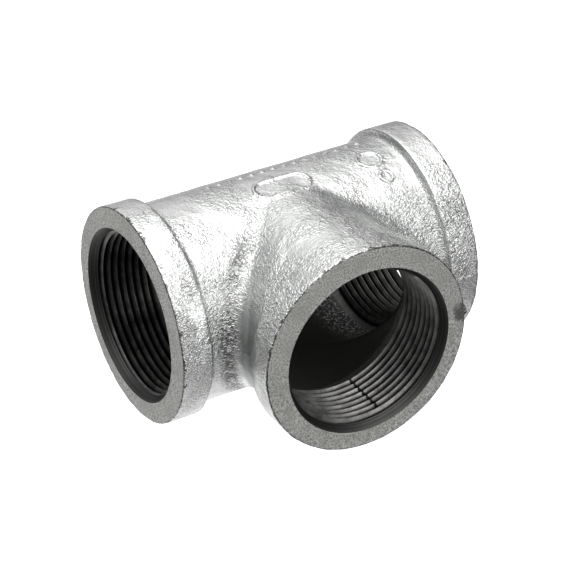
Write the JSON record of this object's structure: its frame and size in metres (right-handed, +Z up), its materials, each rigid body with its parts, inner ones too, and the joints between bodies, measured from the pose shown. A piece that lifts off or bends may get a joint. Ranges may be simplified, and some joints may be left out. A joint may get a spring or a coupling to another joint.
{
  "type": "pipe tee fitting",
  "caption": "Banded pipe tee with equal female taper-threaded ports: two face to face along the run, and a branch at right angles between them.",
  "frame": {"origin": "midway along the part in X and Y, on the surface that the three bands rest on; the casting's three axes cross 12.5 mm behind it and 45.6 mm above it", "axes": "+X along the run, -Y out of the branch port, +Z up from the resting surface"},
  "size_m": [0.1372, 0.1162, 0.0912],
  "materials": {
    "galvanised_iron": "hot-dip galvanised cast skin, with dark oiled metal in the tapped threads and the waterway"
  },
  "bodies": {
    "root": {"tee_body": "galvanised_iron"}
  },
  "joints": []
}
